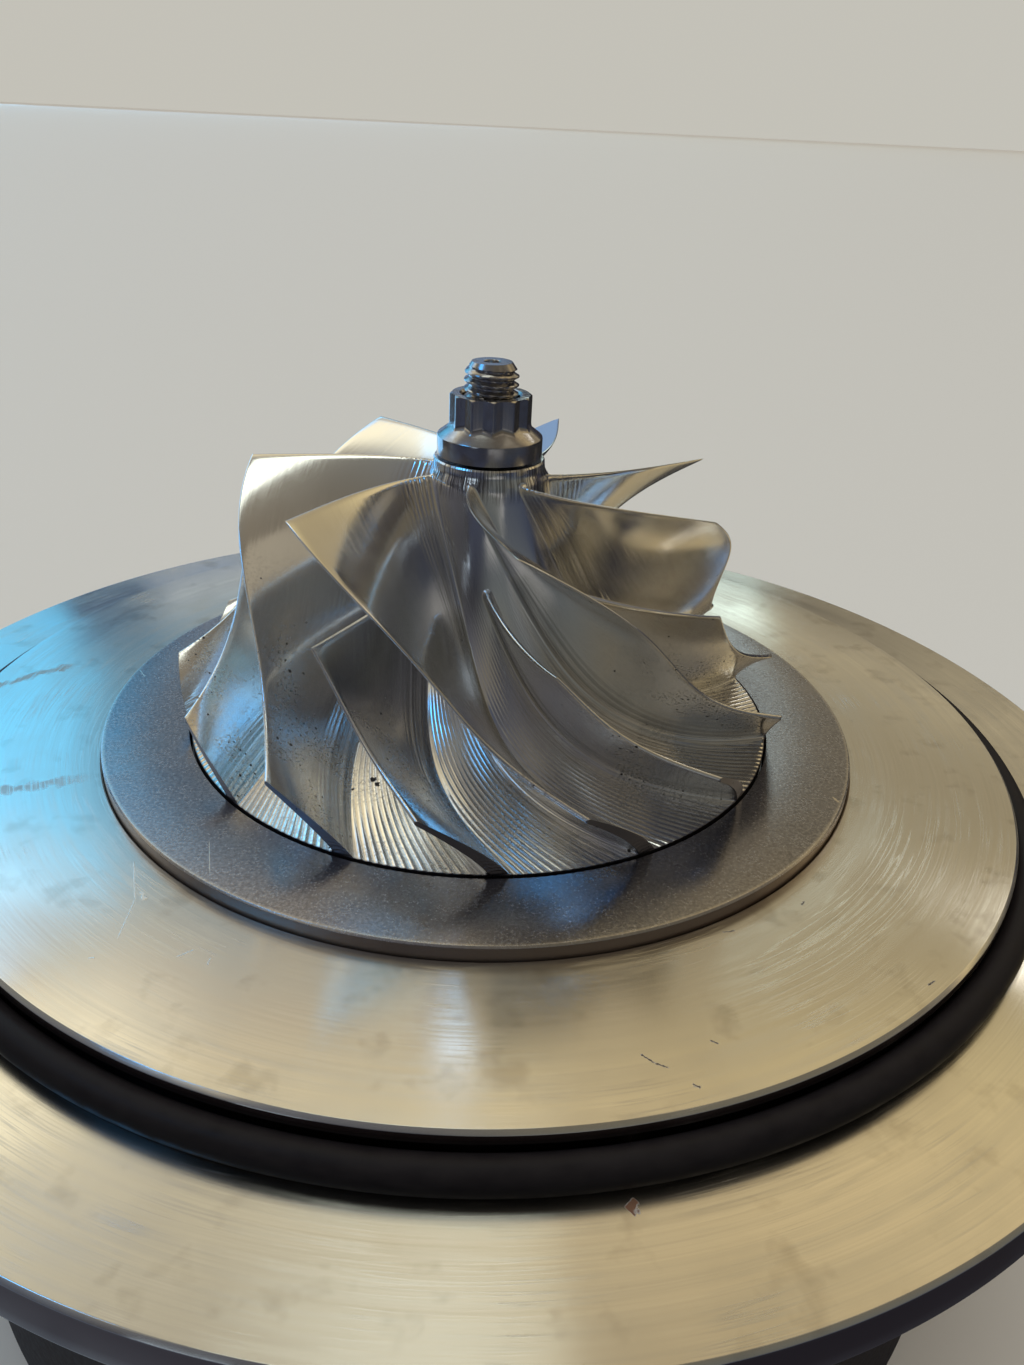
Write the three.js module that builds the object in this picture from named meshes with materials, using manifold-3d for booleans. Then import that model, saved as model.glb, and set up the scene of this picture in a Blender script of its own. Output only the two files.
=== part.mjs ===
// Compressor end of a turbocharger: bladed wheel, shaft, nut, seal plate, backplate and bearing housing.
// Millimetres, +Z up along the shaft, origin on the floor under the shaft's axis.
import * as THREE from 'three';
import Module from 'manifold-3d';
import { mergeVertices } from 'three/addons/utils/BufferGeometryUtils.js';

const wasm = await Module();
wasm.setup();

// Heights above the floor and running gaps
const DECK = 85;                 // top face of the seal plate
const SEAT_GAP = 0.3;            // between pieces that are assembled face to face
const ROOT_GAP = 0.3;            // between a blade's root and the hub's surface

// Stationary pieces
const HOUSING_RADIUS = 89;
const HOUSING_CHAMFER = 2;
const BEARING_RADIUS = 6.35;
const BEARING_DEPTH = 58;
const BACKPLATE_BOTTOM = DECK - 14.6;
const FLANGE_RADIUS = 104.7;
const FLANGE_TOP = DECK - 8.3;
const STEP_RADIUS = 84.2;
const STEP_TOP = DECK - 2.05;
const EDGE_CHAMFER = 0.75;
const COVER_SEAT_RADIUS = 89;     // the flange is free for a cover's rim outside this
const GROOVE_RADIUS = 83.4;
const GROOVE_TOP = DECK - 3.8;
const RING_RADIUS = 85.9;
const RING_SECTION = 2.1;
const RING_SIDES = 10;
const RING_REST = 0.1;           // between the O-ring and the flange under it
const SEAL_RADIUS = 59.8;
const SEAL_THICKNESS = 9;
const SEAL_CHAMFER = 0.35;
const POCKET_RADIUS = 47;
const POCKET_DEPTH = 4;
const COLLAR_HOLE_RADIUS = 9.4;

// Wheel: meridional curves of hub and shroud, as radius and height above the deck at Bezier control points
const HUB_RADII = [8.82, 11.27, 23.29, 46.46];
const HUB_HEIGHTS = [39.66, 13.09, 2.09, 0.22];
const SHROUD_RADII = [36.34, 38.44, 35.2, 48.41];
const SHROUD_HEIGHTS = [39.56, 21.63, 14.16, 9.01];
// Wrap angles of one full blade about the shaft at the same curves, in degrees
const HUB_WRAP = [-160.1, -80.2, -102.2, -73.3, -60.4];
const SHROUD_WRAP = [-135.4, -93.9, -99.5, -84, -73.4];
const BOW_WRAP = [3.1, -4.5, 1.5];
const BLADE_PAIRS = 7;
const SPLITTER_START_HUB = 0.21;
const SPLITTER_START_SHROUD = 0.36;
const HALF_THICKNESS_ROOT = 0.95;
const HALF_THICKNESS_TIP = 0.42;
const LEADING_THICKNESS = 0.45;  // share of a blade's full thickness at its leading edge
const RIM_THICKNESS = 1.4;
const HUB_BACK = -3.2;
const HUB_BOSS_RADIUS = 12;
const HUB_WEB = [30, -2];        // radius and height where the wheel's back turns up to its rim
const HUB_BORE_RADIUS = 4.25;
const NOSE_RADIUS = 8.3;
const NOSE_TOP = 42;
const NOSE_CHAMFER = [0.2, 0.6]; // inwards and down

// Shaft and nut, heights above the deck
const THREAD_RADIUS = 4;
const SHAFT_TOP = 55.7;
const SHAFT_CHAMFER = 0.95;
const COLLAR_RADIUS = 9;
const COLLAR_TOP = HUB_BACK - 0.1;
const COLLAR_BOTTOM = -14.3;
const JOURNAL_RADIUS = 6;
const JOURNAL_LENGTH = 55;
const JOURNAL_CHAMFER = 0.5;
const NUT_BORE_RADIUS = 4.25;
const NUT_RIM_RADIUS = 7.81;
const NUT_RIM_BOTTOM = 42.3;
const NUT_RIM_TOP = 45.2;
const NUT_CONE_TOP = 46.9;
const NUT_TOP = 51.2;
const NUT_POINT_RADIUS = 6.1;
const NUT_POINTS = 12;
const NUT_TURN = 3.7;            // degrees from the X axis to the first point
const NUT_HEAD_SUNK = 1;         // how far the head's prism starts below the cone

// Facets
const TURNS = 56;
const SMALL_TURNS = 28;
const CHORDS = 16;
const SPANS = 4;
const TANGENT_STEP = 0.004;      // flow and span step that a blade's surface normal is taken over
const HALVINGS = 30;

const rad = THREE.MathUtils.degToRad;

const finish = {
  castIron: { color: 0x3a3633, roughness: 0.8, metalness: 0.6 },
  turnedAluminium: { color: 0xc3bdb0, roughness: 0.35, metalness: 1 },
  groundSteel: { color: 0x7c7a78, roughness: 0.55, metalness: 1 },
  rubber: { color: 0x141414, roughness: 0.6, metalness: 0 },
  milledAluminium: { color: 0xb8b4aa, roughness: 0.3, metalness: 1 },
  darkSteel: { color: 0x55524f, roughness: 0.25, metalness: 1 },
};

function piece(name, geometry, look) {
  const mesh = new THREE.Mesh(geometry, new THREE.MeshStandardMaterial(look));
  mesh.name = name;
  return mesh;
}

// A turned solid about +Z from a counterclockwise outline of [radius, height] points.
// The outline closes on itself, or starts and ends on the axis.
function turned(outline, turns = TURNS) {
  const onAxis = outline[0][0] === 0;
  const closed = onAxis ? outline : [...outline, outline[0]];
  const points = closed.map(([radius, height]) => new THREE.Vector2(radius, height));
  const geometry = new THREE.LatheGeometry(points, turns);
  geometry.rotateX(Math.PI / 2);
  return geometry;
}

function bezier(controls, t) {
  let row = controls;
  while (row.length > 1) {
    row = row.slice(1).map((value, i) => row[i] * (1 - t) + value * t);
  }
  return row[0];
}

// Point on a blade's middle surface: t runs along the flow, u from the hub (0) to the shroud (1)
function middle(t, u) {
  const radius = bezier(HUB_RADII, t) * (1 - u) + bezier(SHROUD_RADII, t) * u;
  const height = bezier(HUB_HEIGHTS, t) * (1 - u) + bezier(SHROUD_HEIGHTS, t) * u;
  const bow = 4 * u * (1 - u) * bezier(BOW_WRAP, t);
  const angle = rad(bezier(HUB_WRAP, t) * (1 - u) + bezier(SHROUD_WRAP, t) * u + bow);
  return new THREE.Vector3(radius * Math.cos(angle), radius * Math.sin(angle), height);
}

function normalAt(t, u) {
  const along = middle(t + TANGENT_STEP, u).sub(middle(t - TANGENT_STEP, u));
  const across = middle(t, u + TANGENT_STEP).sub(middle(t, u - TANGENT_STEP));
  return along.cross(across).normalize();
}

// Flow position where one of the hub's curves, which rise or fall all the way, has a given value
function flowAt(controls, value) {
  const rising = controls[controls.length - 1] > controls[0];
  let low = 0;
  let high = 1;
  for (let i = 0; i < HALVINGS; i += 1) {
    const t = (low + high) / 2;
    if (bezier(controls, t) < value === rising) {
      low = t;
    } else {
      high = t;
    }
  }
  return (low + high) / 2;
}

// Distance of a point from the hub's surface, negative inside
function hubClearance(point) {
  const radius = Math.hypot(point.x, point.y);
  const beside = radius - bezier(HUB_RADII, flowAt(HUB_HEIGHTS, point.z));
  const above = point.z - bezier(HUB_HEIGHTS, flowAt(HUB_RADII, radius));
  if (beside <= 0 || above <= 0) {
    return Math.min(beside, above);
  }
  return (beside * above) / Math.hypot(beside, above);
}

// Half a blade's thickness, which grows from the tip to the root and from the leading edge on
function halfThickness(t, u) {
  const across = HALF_THICKNESS_ROOT * (1 - u) + HALF_THICKNESS_TIP * u;
  return across * (LEADING_THICKNESS * (1 - t) + t);
}

// Point on one face of a blade
function onFace(t, u, side) {
  return middle(t, u).addScaledVector(normalAt(t, u), side * halfThickness(t, u));
}

// Span position where a face of a blade ends, just clear of the hub
function rootAt(t, side) {
  let low = 0;
  let high = 0.5;
  for (let i = 0; i < HALVINGS; i += 1) {
    const u = (low + high) / 2;
    if (hubClearance(onFace(t, u, side)) < ROOT_GAP) {
      low = u;
    } else {
      high = u;
    }
  }
  return high;
}

// A closed blade between the hub and the shroud, starting at the flow positions startHub and startShroud
function bladeGeometry(startHub, startShroud) {
  const rows = CHORDS + 1;
  const columns = SPANS + 1;
  const positions = [];
  for (const side of [1, -1]) {
    for (let i = 0; i < rows; i += 1) {
      for (let j = 0; j < columns; j += 1) {
        const v = j / SPANS;
        const start = startHub * (1 - v) + startShroud * v;
        const t = start + (1 - start) * (i / CHORDS);
        const root = rootAt(t, side);
        const point = onFace(t, root + (1 - root) * v, side);
        positions.push(point.x, point.y, point.z);
      }
    }
  }
  const at = (side, i, j) => side * rows * columns + i * columns + j;
  const faces = [];
  const quad = (a, b, c, d) => faces.push(a, b, c, a, c, d);
  for (let i = 0; i < CHORDS; i += 1) {
    for (let j = 0; j < SPANS; j += 1) {
      quad(at(0, i, j), at(0, i + 1, j), at(0, i + 1, j + 1), at(0, i, j + 1));
      quad(at(1, i, j), at(1, i, j + 1), at(1, i + 1, j + 1), at(1, i + 1, j));
    }
    quad(at(0, i, 0), at(1, i, 0), at(1, i + 1, 0), at(0, i + 1, 0));
    quad(at(0, i, SPANS), at(0, i + 1, SPANS), at(1, i + 1, SPANS), at(1, i, SPANS));
  }
  for (let j = 0; j < SPANS; j += 1) {
    quad(at(0, 0, j), at(0, 0, j + 1), at(1, 0, j + 1), at(1, 0, j));
    quad(at(0, CHORDS, j), at(1, CHORDS, j), at(1, CHORDS, j + 1), at(0, CHORDS, j + 1));
  }
  const geometry = new THREE.BufferGeometry();
  geometry.setAttribute('position', new THREE.Float32BufferAttribute(positions, 3));
  geometry.setIndex(faces);
  return geometry;
}

function bearingHousing() {
  const top = BACKPLATE_BOTTOM;
  return piece('bearing_housing', turned([
    [0, 0],
    [HOUSING_RADIUS - HOUSING_CHAMFER, 0],
    [HOUSING_RADIUS, HOUSING_CHAMFER],
    [HOUSING_RADIUS, top],
    [BEARING_RADIUS, top],
    [BEARING_RADIUS, top - BEARING_DEPTH],
    [0, top - BEARING_DEPTH],
  ]), finish.castIron);
}

function backplate() {
  const recess = SEAL_RADIUS + SEAT_GAP;
  const recessFloor = DECK - SEAL_THICKNESS;
  return piece('backplate', turned([
    [COLLAR_HOLE_RADIUS, BACKPLATE_BOTTOM],
    [FLANGE_RADIUS, BACKPLATE_BOTTOM],
    [FLANGE_RADIUS, FLANGE_TOP - EDGE_CHAMFER],
    [FLANGE_RADIUS - EDGE_CHAMFER, FLANGE_TOP],
    [COVER_SEAT_RADIUS, FLANGE_TOP],
    [GROOVE_RADIUS, FLANGE_TOP],
    [GROOVE_RADIUS, GROOVE_TOP],
    [STEP_RADIUS, GROOVE_TOP],
    [STEP_RADIUS, STEP_TOP - EDGE_CHAMFER],
    [STEP_RADIUS - EDGE_CHAMFER, STEP_TOP],
    [recess + SEAL_CHAMFER, STEP_TOP],
    [recess, STEP_TOP - SEAL_CHAMFER],
    [recess, recessFloor],
    [COLLAR_HOLE_RADIUS, recessFloor],
  ]), finish.turnedAluminium);
}

function oRing() {
  const outline = [];
  for (let i = 0; i < RING_SIDES; i += 1) {
    const angle = (2 * Math.PI * (i + 0.5)) / RING_SIDES;
    const radius = RING_RADIUS + RING_SECTION * Math.cos(angle);
    const height = FLANGE_TOP + RING_REST + RING_SECTION * (1 + Math.sin(angle));
    outline.push([radius, height]);
  }
  return piece('o_ring', turned(outline), finish.rubber);
}

function sealPlate() {
  const bottom = DECK - SEAL_THICKNESS;
  return piece('seal_plate', turned([
    [COLLAR_HOLE_RADIUS, bottom],
    [SEAL_RADIUS, bottom],
    [SEAL_RADIUS, DECK - SEAL_CHAMFER],
    [SEAL_RADIUS - SEAL_CHAMFER, DECK],
    [POCKET_RADIUS, DECK],
    [POCKET_RADIUS, DECK - POCKET_DEPTH],
    [COLLAR_HOLE_RADIUS, DECK - POCKET_DEPTH],
  ]), finish.groundSteel);
}

function wheelHub() {
  const outline = [
    [HUB_BORE_RADIUS, HUB_BACK],
    [HUB_BOSS_RADIUS, HUB_BACK],
    HUB_WEB,
    [HUB_RADII[3], HUB_HEIGHTS[3] - RIM_THICKNESS],
  ];
  for (let i = CHORDS; i >= 0; i -= 1) {
    outline.push([bezier(HUB_RADII, i / CHORDS), bezier(HUB_HEIGHTS, i / CHORDS)]);
  }
  const [inwards, down] = NOSE_CHAMFER;
  outline.push([NOSE_RADIUS, NOSE_TOP - down], [NOSE_RADIUS - inwards, NOSE_TOP], [HUB_BORE_RADIUS, NOSE_TOP]);
  return piece('wheel_hub', turned(outline), finish.milledAluminium);
}

function blades() {
  const set = new THREE.Group();
  const full = bladeGeometry(0, 0);
  const splitter = bladeGeometry(SPLITTER_START_HUB, SPLITTER_START_SHROUD);
  for (let i = 0; i < BLADE_PAIRS; i += 1) {
    const fullBlade = piece(`full_blade_${i + 1}`, full, finish.milledAluminium);
    fullBlade.rotation.z = (2 * Math.PI * i) / BLADE_PAIRS;
    const splitterBlade = piece(`splitter_blade_${i + 1}`, splitter, finish.milledAluminium);
    splitterBlade.rotation.z = (2 * Math.PI * (i + 0.5)) / BLADE_PAIRS;
    set.add(fullBlade, splitterBlade);
  }
  return set;
}

function rotorShaft() {
  const end = COLLAR_BOTTOM - JOURNAL_LENGTH;
  return piece('rotor_shaft', turned([
    [0, end],
    [JOURNAL_RADIUS - JOURNAL_CHAMFER, end],
    [JOURNAL_RADIUS, end + JOURNAL_CHAMFER],
    [JOURNAL_RADIUS, COLLAR_BOTTOM],
    [COLLAR_RADIUS, COLLAR_BOTTOM],
    [COLLAR_RADIUS, COLLAR_TOP],
    [THREAD_RADIUS, COLLAR_TOP],
    [THREAD_RADIUS, SHAFT_TOP - SHAFT_CHAMFER],
    [THREAD_RADIUS - SHAFT_CHAMFER, SHAFT_TOP],
    [0, SHAFT_TOP],
  ], SMALL_TURNS), finish.darkSteel);
}

function toSolid(geometry) {
  const bare = geometry.clone();
  bare.deleteAttribute('normal');
  bare.deleteAttribute('uv');
  const merged = mergeVertices(bare, 1e-5);
  return new wasm.Manifold(new wasm.Mesh({
    numProp: 3,
    vertProperties: new Float32Array(merged.attributes.position.array),
    triVerts: new Uint32Array(merged.index.array),
  }));
}

function fromSolid(solid) {
  const mesh = solid.getMesh();
  const geometry = new THREE.BufferGeometry();
  geometry.setAttribute('position', new THREE.BufferAttribute(mesh.vertProperties, 3));
  geometry.setIndex(new THREE.BufferAttribute(mesh.triVerts, 1));
  return geometry;
}

// Nut with a twelve-point head on a conical flange
function lockNut() {
  const valley = (NUT_POINT_RADIUS * Math.cos(rad(30))) / Math.cos(rad(15));
  const outline = [];
  for (let i = 0; i < 2 * NUT_POINTS; i += 1) {
    const angle = rad(NUT_TURN) + (Math.PI * i) / NUT_POINTS;
    const radius = i % 2 === 0 ? NUT_POINT_RADIUS : valley;
    outline.push(new THREE.Vector2(radius * Math.cos(angle), radius * Math.sin(angle)));
  }
  const star = new THREE.Shape(outline);
  const foot = NUT_RIM_TOP - NUT_HEAD_SUNK;
  const head = new THREE.ExtrudeGeometry(star, { depth: NUT_TOP - foot, bevelEnabled: false });
  head.translate(0, 0, foot);
  const flange = turned([
    [0, NUT_RIM_BOTTOM],
    [NUT_RIM_RADIUS, NUT_RIM_BOTTOM],
    [NUT_RIM_RADIUS, NUT_RIM_TOP],
    [valley, NUT_CONE_TOP],
    [0, NUT_CONE_TOP],
  ], SMALL_TURNS);
  const boreLength = 2 * (NUT_TOP - NUT_RIM_BOTTOM);
  const bore = new THREE.CylinderGeometry(NUT_BORE_RADIUS, NUT_BORE_RADIUS, boreLength, SMALL_TURNS);
  bore.rotateX(Math.PI / 2);
  bore.translate(0, 0, (NUT_RIM_BOTTOM + NUT_TOP) / 2);
  const solid = toSolid(head).add(toSolid(flange)).subtract(toSolid(bore));
  return piece('lock_nut', fromSolid(solid), finish.darkSteel);
}

const rotor = new THREE.Group();
rotor.position.z = DECK;
rotor.add(wheelHub(), blades(), rotorShaft(), lockNut());

const group = new THREE.Group();
group.add(bearingHousing(), backplate(), oRing(), sealPlate(), rotor);

export default group;
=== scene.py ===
"""Looks of a turbocharger compressor wheel on its seal plate, backplate and bearing housing.

Every length below is in millimetres and becomes metres where a mesh is made. Heights of wheel, shaft
and nut count from the deck, the top face of the seal plate.
"""

import math

import bmesh
import bpy
import numpy as np
from mathutils import Matrix, Vector


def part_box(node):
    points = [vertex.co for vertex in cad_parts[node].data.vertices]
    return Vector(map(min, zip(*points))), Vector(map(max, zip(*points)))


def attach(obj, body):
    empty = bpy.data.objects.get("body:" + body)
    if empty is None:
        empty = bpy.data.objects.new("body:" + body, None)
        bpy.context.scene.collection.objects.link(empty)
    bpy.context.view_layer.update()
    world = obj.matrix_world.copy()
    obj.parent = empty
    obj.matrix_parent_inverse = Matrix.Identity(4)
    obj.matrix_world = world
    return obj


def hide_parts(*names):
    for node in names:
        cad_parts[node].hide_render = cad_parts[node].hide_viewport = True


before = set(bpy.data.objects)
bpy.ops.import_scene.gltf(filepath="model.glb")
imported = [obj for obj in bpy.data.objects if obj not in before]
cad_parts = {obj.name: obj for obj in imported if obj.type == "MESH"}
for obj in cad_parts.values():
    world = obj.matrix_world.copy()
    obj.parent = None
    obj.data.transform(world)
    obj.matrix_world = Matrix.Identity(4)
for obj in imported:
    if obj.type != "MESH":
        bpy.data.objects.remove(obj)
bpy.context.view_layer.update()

MM = 0.001
TINY = 1e-9


def cad_mm(node):
    """Lowest and highest corner of a CAD node, in millimetres."""
    low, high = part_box(node)
    return low / MM, high / MM


# Sizes read from the frame
DECK = cad_mm("seal_plate")[1].z
SEAL_BOTTOM = cad_mm("seal_plate")[0].z
SEAL_RADIUS = cad_mm("seal_plate")[1].x
BACKPLATE_BOTTOM = cad_mm("backplate")[0].z
FLANGE_RADIUS = cad_mm("backplate")[1].x
STEP_TOP = cad_mm("backplate")[1].z
HOUSING_RADIUS = cad_mm("bearing_housing")[1].x
RING_BOTTOM = cad_mm("o_ring")[0].z
RING_TOP = cad_mm("o_ring")[1].z
SHAFT_TOP = cad_mm("rotor_shaft")[1].z - DECK
SHAFT_BOTTOM = cad_mm("rotor_shaft")[0].z - DECK
NUT_RIM_RADIUS = cad_mm("lock_nut")[1].x
NUT_BOTTOM = cad_mm("lock_nut")[0].z - DECK
NUT_TOP = cad_mm("lock_nut")[1].z - DECK
NOSE_TOP = cad_mm("wheel_hub")[1].z - DECK

# Stationary pieces
FLANGE_TOP = DECK - 8.3
STEP_RADIUS = 84.2
GROOVE_RADIUS = 83.4
GROOVE_TOP = DECK - 3.8
EDGE_CHAMFER = 0.45
SEAT_GAP = 0.1
SEAL_CHAMFER = 0.25
POCKET_RADIUS = 46.85
POCKET_FLOOR = DECK - 4
COLLAR_HOLE_RADIUS = 9.4
RING_RADIUS = 85.9
HOUSING_CHAMFER = 2
BEARING_RADIUS = 6.35
BEARING_DEPTH = 58

# Where an outline that would meet the axis stops short of it
AXIS_HOLE = 0.02

# Wheel: meridional curves of hub and shroud and the blades' wrap about the shaft, at Bezier control
# points, and where along the flow the blades start at hub and shroud
HUB_RADII = (8.82, 11.27, 23.29, 46.46)
HUB_HEIGHTS = (39.66, 13.09, 2.09, 0.22)
SHROUD_RADII = (36.34, 38.44, 35.2, 48.41)
SHROUD_HEIGHTS = (39.56, 21.63, 14.16, 9.01)
HUB_WRAP = (-160.1, -80.2, -102.2, -73.3, -60.4)
SHROUD_WRAP = (-135.4, -93.9, -99.5, -84, -73.4)
BOW_WRAP = (3.1, -4.5, 1.5)
BLADE_PAIRS = 7
PASSAGES = 2 * BLADE_PAIRS
FULL_START = (0, 0)
SPLITTER_START = (0.21, 0.36)
HALF_THICKNESS_ROOT = 0.95
HALF_THICKNESS_TIP = 0.34
LEADING_THICKNESS = 0.45
FILLET_NOSE = 0.7
FILLET_RIM = 0.65
FILLET_LONGEST = 2.2
LEADING_ROUND = 0.8
TIP_ROUND = 0.25
TOE_SUNK = 0.05
RIM_THICKNESS = 1.4
HUB_BACK = -3.2
HUB_BORE_RADIUS = 4.25
HUB_BOSS_RADIUS = 12
NOSE_RADIUS = 8.3

# Outlines of the hub's underside and nose, as radius and height
HUB_UNDERSIDE = (
    (HUB_RADII[-1], HUB_HEIGHTS[-1] - RIM_THICKNESS),
    (30, -2),
    (HUB_BOSS_RADIUS, HUB_BACK),
    (HUB_BORE_RADIUS, HUB_BACK),
)
HUB_NOSE = (
    (HUB_BORE_RADIUS, NOSE_TOP),
    (NOSE_RADIUS - 0.2, NOSE_TOP),
    (NOSE_RADIUS, NOSE_TOP - 0.25),
    (NOSE_RADIUS + 0.02, NOSE_TOP - 0.8),
    (NOSE_RADIUS + 0.12, NOSE_TOP - 1.5),
)

# Tool marks on the hub's floor: cusps between passes of a ball-nosed cutter
RIDGES_PER_PASSAGE = 17
POINTS_PER_RIDGE = 6
CUTTER_RADIUS = 1.3
RIDGE_FADE = 0.35
HUB_ROWS = 56

# Worn places on the blades' tips: place and half width along the flow, and depth as a share of the span
TIP_NICKS = {
    "full_blade_1": ((0.3, 0.005, 0.007), (0.45, 0.003, 0.006)),
    "full_blade_2": ((0.55, 0.006, 0.009), (0.82, 0.004, 0.006)),
    "splitter_blade_1": ((0.62, 0.006, 0.008),),
}

# Shaft end and nut
THREAD_RADIUS = 4
THREAD_PITCH = 1.25
THREAD_DEPTH = 0.72
THREAD_BOTTOM = 49
THREAD_ROWS = 68
SHANK_RADIUS = THREAD_RADIUS - 0.1
SHAFT_CHAMFER = 1.05
CHAMFER_SLOPE = 0.7
CENTRE_HOLE_RADIUS = 1.15
COLLAR_RADIUS = 9
COLLAR_TOP = HUB_BACK - 0.1
COLLAR_BOTTOM = -14.3
JOURNAL_RADIUS = 6
JOURNAL_CHAMFER = 0.5
NUT_BORE_RADIUS = 4.25
NUT_BORE_CHAMFER = 0.35
NUT_RIM_TOP = 45.2
NUT_CONE_TOP = 46.9
NUT_POINT_RADIUS = 6.1
NUT_POINT_WEAR = 0.06
NUT_CHAMFER_RADIUS = 5.75
NUT_CHAMFER_ANGLE = math.radians(32)
NUT_FOOT_ROUND = 0.55
NUT_TURN = math.radians(3.7)


# Meshes

# Third part of the attribute "passes": 0 on the hub, and round this value on the blades' faces
ON_BLADE = 20


def in_scene(name, data):
    """A new object in the scene, from a mesh, light or camera."""
    thing = bpy.data.objects.new(name, data)
    bpy.context.scene.collection.objects.link(thing)
    return thing


def to_object(name, points, faces, body, nodes, slot_name, look, sharp=30, passes=None):
    """A smooth-shaded mesh object from points in millimetres, riding on a body in place of CAD nodes.
    Passes gives each point its distance along and across the cutter's path, for the material."""
    mesh = bpy.data.meshes.new(name)
    mesh.from_pydata((np.asarray(points) * MM).tolist(), [], faces)
    if passes is not None:
        path = mesh.attributes.new("passes", "FLOAT_VECTOR", "POINT")
        path.data.foreach_set("vector", (passes * MM).ravel())
    work = bmesh.new()
    work.from_mesh(mesh)
    bmesh.ops.recalc_face_normals(work, faces=work.faces)
    work.to_mesh(mesh)
    work.free()
    mesh.polygons.foreach_set("use_smooth", [True] * len(mesh.polygons))
    mesh.set_sharp_from_angle(angle=math.radians(sharp))
    mesh.materials.append(look)
    piece = in_scene(name, mesh)
    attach(piece, body)
    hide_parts(*nodes)
    return piece


def grid_faces(rows, columns, close_rows=False):
    """Quads over a grid of points stored row by row, joined round each row."""
    faces = []
    last = rows if close_rows else rows - 1
    for i in range(last):
        this, other = i * columns, (i + 1) % rows * columns
        for j in range(columns):
            k = (j + 1) % columns
            faces.append((this + j, this + k, other + k, other + j))
    return faces


def full_turn(count):
    """Angles of evenly spaced points round the axis."""
    return np.arange(count) * 2 * math.pi / count


def polar(radius, angle, height):
    """Points from radius, angle and height, which may be single values or arrays that fit each other."""
    return np.stack(np.broadcast_arrays(radius * np.cos(angle), radius * np.sin(angle), height), -1)


def unit(vectors):
    return vectors / np.linalg.norm(vectors, axis=-1, keepdims=True)


def softened(outline, steps=3):
    """An outline of (radius, height, corner radius) points with each corner drawn as an arc."""
    result = []
    for i, (radius, height, corner) in enumerate(outline):
        here = np.array((radius, height), float)
        if corner == 0:
            result.append(here)
            continue
        before = unit(np.array(outline[i - 1][:2]) - here)
        after = unit(np.array(outline[(i + 1) % len(outline)][:2]) - here)
        half = math.acos(np.clip(before @ after, -1, 1)) / 2
        reach = corner / math.tan(half)
        start = here + before * reach
        end = here + after * reach
        for k in range(steps + 1):
            share = k / steps
            result.append((1 - share) ** 2 * start + 2 * share * (1 - share) * here + share ** 2 * end)
    return np.array(result)


def turned(name, outline, turns, nodes, slot_name, look, sharp=30):
    """A turned stationary piece from a closed outline that stays off the axis."""
    points = polar(outline[:, :1], full_turn(turns), outline[:, 1:]).reshape(-1, 3)
    faces = grid_faces(len(outline), turns, close_rows=True)
    return to_object(name, points, faces, "housing", nodes, slot_name, look, sharp)


def raised(rows):
    """Points of the wheel, shaft or nut in one list, with their heights counted from the floor."""
    return np.array(rows).reshape(-1, 3) + (0, 0, DECK)


# Blade and hub surfaces

# Half the step over which a surface's directions are measured
SMALL_STEP = 0.002


def bezier(controls, t):
    """Value of a Bezier curve at its parameter t, from its control values."""
    row = [np.full(np.shape(t), value, float) for value in controls]
    while len(row) > 1:
        row = [a * (1 - t) + b * t for a, b in zip(row, row[1:])]
    return row[0]


def middle(t, u):
    """Point on a blade's middle surface: t runs along the flow, u from the hub (0) to the shroud (1)."""
    radius = bezier(HUB_RADII, t) * (1 - u) + bezier(SHROUD_RADII, t) * u
    height = bezier(HUB_HEIGHTS, t) * (1 - u) + bezier(SHROUD_HEIGHTS, t) * u
    bow = 4 * u * (1 - u) * bezier(BOW_WRAP, t)
    angle = np.radians(bezier(HUB_WRAP, t) * (1 - u) + bezier(SHROUD_WRAP, t) * u + bow)
    return polar(radius, angle, height)


def along_flow(t, u):
    return middle(t + SMALL_STEP, u) - middle(t - SMALL_STEP, u)


def blade_normal(t, u):
    across = middle(t, u + SMALL_STEP) - middle(t, u - SMALL_STEP)
    return unit(np.cross(along_flow(t, u), across))


# The hub's curve as tables
HUB_T = np.linspace(0, 1, 400)
HUB_RADIUS = bezier(HUB_RADII, HUB_T)
HUB_HEIGHT = bezier(HUB_HEIGHTS, HUB_T)


def hub_clearance(points):
    """Distance of points from the hub's surface, negative inside."""
    radius = np.hypot(points[..., 0], points[..., 1])
    height = points[..., 2]
    beside = radius - np.interp(height, HUB_HEIGHT[::-1], HUB_RADIUS[::-1])
    above = height - np.interp(radius, HUB_RADIUS, HUB_HEIGHT)
    outside = (beside > 0) & (above > 0)
    slant = np.abs(beside * above) / np.maximum(np.hypot(beside, above), TINY)
    return np.where(outside, slant, -slant)


def hub_normal(points):
    """Outward direction of the hub's surface nearest to points."""
    radius = np.hypot(points[..., 0], points[..., 1])
    t = np.interp(radius, HUB_RADIUS, HUB_T)
    run = np.interp(t, HUB_T, np.gradient(HUB_RADIUS, HUB_T))
    fall = np.interp(t, HUB_T, np.gradient(HUB_HEIGHT, HUB_T))
    return unit(np.stack([-fall * points[..., 0] / radius, -fall * points[..., 1] / radius, run], -1))


def half_thickness(t, u):
    """Half a blade's thickness, which grows from the tip to the root and from the leading edge on."""
    across = HALF_THICKNESS_ROOT * (1 - u) + HALF_THICKNESS_TIP * u
    return across * (LEADING_THICKNESS * (1 - t) + t)


def on_face(t, u, side):
    """Point on a blade's face: side is 1 or -1, or between them on its edges."""
    points = middle(t, u) + blade_normal(t, u) * (side * half_thickness(t, u))[..., None]
    return slid_to_edge(points, t, u)


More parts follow.
